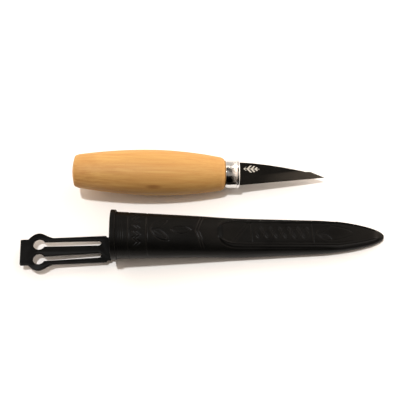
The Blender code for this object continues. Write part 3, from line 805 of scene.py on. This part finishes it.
def panel_relief(x, y, half):
    """Engraving on the blade panel: a border, slanted lines, a plaited band, leaves and a pointed arch."""
    line, deep = 0.0008, 0.00019
    inside = smooth_step((half - np.abs(y) - 0.0012) / 0.0004)
    relief = np.zeros_like(x)
    border_end = 0.1500
    border = between(x, 0.0815, border_end, 0.0010)
    relief += groove(np.abs(y) - (half - 0.0018), line, deep) * border
    for start in (0.0790, 0.0812):
        relief += groove((x - start - 0.75 * y) * 0.8, line, deep) * inside
    field = between(x, 0.0885, 0.1230, 0.0004) * inside
    period, reach = 0.0115, 0.0034
    phase = 2 * math.pi * (x - 0.0885) / period
    for turn in (0, math.pi):
        strand = reach * np.sin(phase + turn)
        lean = 1 / np.sqrt(1 + (reach * 2 * math.pi / period * np.cos(phase + turn)) ** 2)
        for side in (-0.0007, 0.0007):
            relief += groove((y - strand) * lean - side, line * 0.8, deep) * field
    for end in (0.0865, 0.1250):
        relief += groove(x - end, line, deep) * inside
    for centre, lean in (((0.1318, 0.0024), 0.42), ((0.1318, -0.0024), -0.42)):
        outline, rib = leaf_line(x, y, centre, 0.0048, 0.0016, lean)
        relief += groove(outline, line * 0.9, deep) + groove(rib, line * 0.7, deep * 0.7)
    arch = np.abs(y) - 0.0052 * np.sqrt(np.clip((0.1500 - x) / 0.0140, 0, 1))
    relief += groove(arch * 0.9, line, deep) * between(x, 0.1362, 0.1500, 0.0004)
    return relief


RING_STEP = 0.00031
CLOSING_FROM = 0.955  # share of the length from which the rings draw together
CLOSING_RINGS = 34
RIM_RINGS = 7  # in each of the rim's two rounded edges and between them


def sheath_outside():
    """Rings of the plain outer surface from the mouth to the tip, with the rim."""
    turn = SHEATH_LENGTH * CLOSING_FROM
    body = np.arange(RIM_LENGTH, turn, RING_STEP)
    quarter = math.pi / 2
    closing = turn + (SHEATH_LENGTH - TIP_FLAT - turn) * np.sin(np.linspace(0, quarter, CLOSING_RINGS))
    rim = np.concatenate([
        RIM_EDGE * (1 - np.cos(np.linspace(0.15, quarter, RIM_RINGS))),
        np.linspace(RIM_EDGE, RIM_LENGTH - RIM_EDGE, RIM_RINGS)[1:],
        RIM_LENGTH - RIM_EDGE * (1 - np.sin(np.linspace(0, quarter, RIM_RINGS)))[1:],
    ])
    stations = np.concatenate([rim, body[1:], closing])
    rings = []
    for along in stations:
        proud, front = 0.0, 0.0
        half, high = sheath_half_width(along), sheath_depth(along)
        corner, power = back_corner(along), front_power(along)
        if along < RIM_LENGTH:
            near = min(along, RIM_LENGTH - along)
            ease = 1 - math.sqrt(max(0.0, 1 - (1 - min(1.0, near / RIM_EDGE)) ** 2))
            proud = RIM_PROUD - RIM_EDGE * ease
            front = RIM_FRONT_PROUD - RIM_EDGE * ease
        back = back_lift(along)
        ring = section(half + proud, back, back + high + front, corner, power)
        rings.append(np.column_stack([np.full(len(ring), along), ring]))
    return stations, np.array(rings)


PANEL_CROWN = 0.00035  # how much the panel falls from its middle to its edge
PANEL_EASE = 0.004  # length over which it rises at its ends
PANEL_BEAD = (0.00038, 0.0006, 0.0005)  # height, distance inside the panel's edge, width
PANEL_HOLLOW = (0.00050, 0.0009, 0.0006)  # depth, distance outside the edge, width


def ridge(away, size):
    """A rounded ridge of (height, distance, width) beside a line at distance 0."""
    height, distance, width = size
    return height * np.exp(-(((away - distance) / width) ** 2))


def raise_panel(stations, rings):
    """Lifts the blade part's front to the flat panel, with a bead on its edge and a hollow beside it."""
    panel_end = SHEATH_LENGTH - PANEL_END_MARGIN
    for along, ring in zip(stations, rings):
        if not PANEL_START < along < panel_end:
            continue
        half = panel_half_width(along)
        if half <= 0:
            continue
        back, depth = back_lift(along), sheath_depth(along)
        front = ring[:, 2] > back + 0.5 * depth
        away = np.abs(ring[:, 1])
        top = back + depth + PANEL_RISE - PANEL_CROWN * (away / PANEL_HALF_WIDTH) ** 2
        ends = between(along, PANEL_START, panel_end, PANEL_EASE)
        inside = smooth_step((half - away) / 0.0006 + 0.5)
        lifted = ring[:, 2] + (top + ridge(half - away, PANEL_BEAD) - ring[:, 2]) * inside * ends
        hollow = ridge(away - half, PANEL_HOLLOW) * ends
        ring[:, 2] = np.where(front, np.maximum(lifted, ring[:, 2]) - hollow * (1 - inside), ring[:, 2])


RELIEF_FROM_RIM = 0.0008
RELIEF_FROM_PANEL_END = 0.002


def engrave(stations, rings):
    """Moves the front's points along the surface's normal by the relief."""
    x, y, z = rings[:, :, 0], rings[:, :, 1], rings[:, :, 2]
    along_step = np.gradient(rings, axis=0)
    across_step = np.roll(rings, -1, axis=1) - np.roll(rings, 1, axis=1)
    normal = np.cross(across_step, along_step)
    normal /= np.maximum(np.linalg.norm(normal, axis=2, keepdims=True), 1e-12)
    depth = np.array([sheath_depth(s) for s in stations])[:, None]
    half = np.array([panel_half_width(s) for s in stations])[:, None]
    back = np.array([back_lift(s) for s in stations])[:, None]
    front = smooth_step((z - back - 0.45 * depth) / (0.1 * depth))
    start = smooth_step((x - RIM_LENGTH - RELIEF_FROM_RIM) / 0.0003)
    stop = smooth_step((PANEL_START - x) / 0.001)
    panel = smooth_step((x - PANEL_START - RELIEF_FROM_PANEL_END) / 0.001)
    relief = pocket_relief(x, y) * start * stop + panel_relief(x, y, half) * panel
    rings += normal * (relief * front)[:, :, None]


CAVITY_LEAST_HALF = 0.0022
CAVITY_RINGS = 90
LIP_SHARES = (0.35, 0.7)  # rings across the flat lip, from the outside to the cavity


def inner_ring(along):
    """A ring of the cavity's wall."""
    half = max(CAVITY_LEAST_HALF, sheath_half_width(along) - SHEATH_WALL)
    low = back_lift(along) + SHEATH_WALL
    high = back_lift(along) + sheath_depth(along) - SHEATH_WALL
    ring = section(half, low, high, back_corner(along), front_power(along))
    return np.column_stack([np.full(len(ring), along), ring])


def make_sheath(place):
    """One hollow moulding, its outer and inner skins joined round the mouth."""
    stations, outside = sheath_outside()
    raise_panel(stations, outside)
    engrave(stations, outside)
    cavity = np.linspace(0.0, SHEATH_LENGTH - CAVITY_END_WALL, CAVITY_RINGS)
    inside = [inner_ring(along) for along in cavity]
    lip = []
    for share in LIP_SHARES:
        mixed = outside[0] * (1 - share) + inside[0] * share
        mixed[:, 0] = 0.0
        lip.append(mixed)
    rings = np.concatenate([outside[::-1], np.array(lip), np.array(inside)])
    plastic = black_plastic("sheath_plastic", place, 0.07, 0.32)
    sheath = finished_object("moulded_sheath", skin(rings), place, plastic, 50)
    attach(sheath, "sheath")
    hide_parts("sheath_body")


# ---------------------------------------------------------------- belt hanger

TAB_STEP = 0.0003  # between the bulge's end and the tab's side
TAB_SHOULDER = 0.0004
TAB_BEVEL = 0.0007
NECK_START = 0.0003


def hanger_half_width(x):
    """Half the hanger's width at a distance from the hinge, up to its tab."""
    if x < WAIST_AT:
        return STRAP_HALF
    if x < BULGE_AT:
        rise = float(smooth_step((x - WAIST_AT) / (BULGE_AT - WAIST_AT)))
        return STRAP_HALF + (BULGE_HALF - STRAP_HALF) * rise
    fall = (x - BULGE_AT) / (TAB_AT - BULGE_AT)
    return BULGE_HALF - (BULGE_HALF - TAB_HALF - TAB_SHOULDER) * fall**2


def hanger_outline():
    """The plate's outline, from the neck along one side to the tab and back along the other."""
    round_off = STRAP_HALF - NECK_HALF
    side = [(NECK_START, NECK_HALF), (NECK_LENGTH, NECK_HALF)]
    side += arc((NECK_LENGTH + round_off, NECK_HALF), round_off, 150, 90, 5)
    side += [(x, hanger_half_width(x)) for x in np.linspace(WAIST_AT, TAB_AT, 44)]
    side += [(TAB_AT + TAB_STEP, TAB_HALF)]
    side += arc((HANGER_REACH - TAB_BEVEL, TAB_HALF - TAB_BEVEL), TAB_BEVEL, 90, 0, 6)
    return [(-x, y) for x, y in side] + [(-x, -y) for x, y in reversed(side)]


def keyhole(side):
    """A long slot that ends in a round button hole."""
    half = SLOT_WIDTH / 2
    hole = (-KEYHOLE_AT, side * SLOT_SPACING_AT_KEYHOLES / 2)
    end = (-SLOT_START - half, side * SLOT_SPACING_AT_HINGE / 2)
    lean = math.degrees(math.atan2(end[1] - hole[1], end[0] - hole[0]))
    opening = math.degrees(math.asin(SLOT_WIDTH / KEYHOLE_DIAMETER))
    button_hole = arc(hole, KEYHOLE_DIAMETER / 2, lean + opening, lean + 360 - opening, 48)
    return button_hole + arc(end, half, lean - 90, lean + 90, 16)


def make_hanger(place):
    """The slotted strap, a plate with rounded edges."""
    curve = bpy.data.curves.new("hanger_outline", "CURVE")
    curve.dimensions = "2D"
    curve.fill_mode = "BOTH"
    curve.extrude = HANGER_THICKNESS / 2 - HANGER_EDGE
    curve.bevel_depth = HANGER_EDGE
    curve.bevel_resolution = 4
    curve.offset = -HANGER_EDGE
    for outline in (hanger_outline(), keyhole(1), keyhole(-1)):
        spline = curve.splines.new("POLY")
        spline.points.add(len(outline) - 1)
        for point, (x, y) in zip(spline.points, outline):
            point.co = (x, y, 0, 1)
        spline.use_cyclic_u = True
    guide = bpy.data.objects.new("hanger_guide", curve)
    bpy.context.scene.collection.objects.link(guide)
    graph = bpy.context.evaluated_depsgraph_get()
    mesh = bpy.data.meshes.new_from_object(guide.evaluated_get(graph))
    bpy.data.objects.remove(guide)
    shape = bmesh.new()
    shape.from_mesh(mesh)
    bmesh.ops.remove_doubles(shape, verts=shape.verts, dist=0.000002)
    # A darker copy of the sheath's plastic: painted shade, making up for the light the hanger's upturned
    # plate catches.
    plastic = black_plastic("hanger_plastic", place, 0.05, 0.25)
    hanger = finished_object("slotted_hanger", shape, place, plastic, 50)
    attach(hanger, "hanger")
    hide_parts("belt_hanger")


WEB_INTO_STRAP = 0.0022
WEB_BENDS_TO = 0.0012  # the film follows the strap wholly from here, as the blend's end says
WEB_NARROWER = 0.0009
WEB_THICKER = 0.00035  # what each face gains away from the hinge's middle
WEB_THIN_HALF = 0.0016
WEB_EDGE = 0.0002
WEB_RINGS = 40


def web_section(x):
    """Points round the film at x, its four corners cut off."""
    half = NECK_HALF - WEB_NARROWER
    spread = float(smooth_step(abs(x - HINGE_STANDOFF / 2) / WEB_THIN_HALF))
    thin = WEB_THICKNESS / 2 + WEB_THICKER * spread
    side, face = half - WEB_EDGE, thin - WEB_EDGE
    lower = [(-half, -face), (-side, -thin), (side, -thin), (half, -face)]
    upper = [(half, face), (side, thin), (-side, thin), (-half, face)]
    return [Vector((x, y, z)) for y, z in lower + upper]


def make_hinge_web(place, strap):
    """The thin film of plastic that bends between the sheath's rim and the hanger."""
    rise = Vector((0, 0, SHEATH_WALL / 2))
    rings = []
    for x in np.linspace(-WEB_INTO_STRAP, HINGE_STANDOFF + WEB_OVERLAP, WEB_RINGS):
        share = float(smooth_step((HINGE_STANDOFF - x) / (HINGE_STANDOFF + WEB_BENDS_TO)))
        rings.append([(place @ (point + rise)).lerp(strap @ point, share) for point in web_section(x)])
    # The film shares the hanger's darker copy of the plastic, with its painted shade.
    plastic = bpy.data.materials["hanger_plastic"]
    web = finished_object("film_hinge", skin(np.array(rings)), Matrix(), plastic)
    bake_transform(web)


# ---------------------------------------------------------------- stage, light and camera

CAMERA_ELEVATION = math.radians(64)
CAMERA_DISTANCE = 0.516
CAMERA_ROLL = math.radians(-0.8)
CAMERA_TARGET = Vector((0.00475, 0.0035, 0))
CAMERA_FIELD = 0.27216  # width of the view at the target

# The room's brightness by the direction's +Y part, then what its +X part adds and where along Y.
BACK_STOPS = [
    (-1.0, 0.0), (-0.50, 0.0), (-0.36, 0.30), (-0.16, 0.30), (0.02, 0.06), (0.50, 0.06),
    (0.56, 1.5), (0.72, 1.5), (0.76, 0.6), (1.0, 0.8),
]
SIDE_STOPS = [
    (-1.0, 1.5), (-0.5, 1.3), (-0.2, 0.0), (0.25, 0.0),
    (0.31, 0.50), (0.38, 1.2), (0.6, 2.9), (1.0, 3.2),
]
SIDE_FADE = [(-1.0, 0.04), (-0.35, 0.2), (0.35, 1.0), (1.0, 1.0)]
ROOM_TINT = (1.03, 0.93, 0.845)
FLOOR_HALF = 6
FLOOR_GAP = 0.00005


def make_stage():
    shape = bmesh.new()
    bmesh.ops.create_grid(shape, x_segments=1, y_segments=1, size=FLOOR_HALF)
    floor = finished_object("floor", shape, Matrix.Translation((0, 0, cad_low.z - FLOOR_GAP)), pale_floor())


def sun(name, aim, angle, strength, colour):
    """Even light from far away, aimed in degrees towards +Y from straight up, then towards +X."""
    back, right = math.radians(aim[0]), math.radians(aim[1])
    direction = Vector((math.tan(right), math.tan(back), 1)).normalized()
    light = bpy.data.lights.new(name, "SUN")
    light.angle = math.radians(angle)
    light.energy = strength
    light.color = colour
    lamp = bpy.data.objects.new(name, light)
    bpy.context.scene.collection.objects.link(lamp)
    lamp.location = direction
    lamp.rotation_euler = direction.to_track_quat("Z", "Y").to_euler()


def make_world():
    """A soft room: bright behind the object, dim overhead, dark in front. The camera sees plain pale."""
    world = bpy.data.worlds.new("studio")
    bpy.context.scene.world = world
    world.use_nodes = True
    tree = world.node_tree
    tree.nodes.clear()
    direction = tree.nodes.new("ShaderNodeTexCoord").outputs["Generated"]
    split = tree.nodes.new("ShaderNodeSeparateXYZ")
    tree.links.new(direction, split.inputs[0])

    def level(socket, stops):
        """A grey that follows one part of the direction, from -1 to 1, through the stops."""
        shift = tree.nodes.new("ShaderNodeMapRange")
        shift.inputs["From Min"].default_value = -1.0
        tree.links.new(socket, shift.inputs["Value"])
        ramp = tree.nodes.new("ShaderNodeValToRGB")
        tree.links.new(shift.outputs[0], ramp.inputs[0])
        elements = ramp.color_ramp.elements
        while len(elements) < len(stops):
            elements.new(0.5)
        for element, (place, value) in zip(elements, stops):
            element.position = (place + 1) / 2
            element.color = (*(value * tint for tint in ROOM_TINT), 1)
        return ramp.outputs[0]

    def mixed(way, first, second):
        node = tree.nodes.new("ShaderNodeMix")
        node.data_type = "RGBA"
        node.blend_type = way
        node.inputs[0].default_value = 1.0
        tree.links.new(first, node.inputs[6])
        tree.links.new(second, node.inputs[7])
        return node.outputs[2]

    from_behind = level(split.outputs[1], BACK_STOPS)
    sides = mixed("MULTIPLY", level(split.outputs[0], SIDE_STOPS), level(split.outputs[1], SIDE_FADE))
    room = tree.nodes.new("ShaderNodeBackground")
    tree.links.new(mixed("ADD", from_behind, sides), room.inputs["Color"])
    plain = tree.nodes.new("ShaderNodeBackground")
    plain.inputs["Color"].default_value = (1, 1, 1, 1)
    path = tree.nodes.new("ShaderNodeLightPath")
    choose = tree.nodes.new("ShaderNodeMixShader")
    tree.links.new(path.outputs["Is Camera Ray"], choose.inputs[0])
    tree.links.new(room.outputs[0], choose.inputs[1])
    tree.links.new(plain.outputs[0], choose.inputs[2])
    output = tree.nodes.new("ShaderNodeOutputWorld")
    tree.links.new(choose.outputs[0], output.inputs["Surface"])


def make_camera():
    data = bpy.data.cameras.new("camera")
    data.sensor_width = 36
    data.lens = data.sensor_width * CAMERA_DISTANCE / CAMERA_FIELD
    camera = bpy.data.objects.new("camera", data)
    bpy.context.scene.collection.objects.link(camera)
    away = Vector((0, -math.cos(CAMERA_ELEVATION), math.sin(CAMERA_ELEVATION)))
    tilt = Matrix.Rotation(math.pi / 2 - CAMERA_ELEVATION, 4, "X")
    roll = Matrix.Rotation(CAMERA_ROLL, 4, "Z")
    camera.matrix_world = Matrix.Translation(CAMERA_TARGET + away * CAMERA_DISTANCE) @ tilt @ roll
    bpy.context.scene.camera = camera


knife = knife_frame()
make_handle(knife)
make_ferrule(knife)
make_blade(knife)
glue = frame["nodes"]["tang_glue"]
glue.data.materials.clear()
glue.data.materials.append(cured_glue(knife))
make_sheath(sheath_frame())
make_hanger(strap_frame())
make_hinge_web(hinge_frame(), strap_frame())
make_stage()
make_world()
sun("key", (3.0, -9), 4.5, 2.05, (1.0, 0.995, 0.985))
make_camera()
bpy.context.scene.view_settings.view_transform = "Standard"
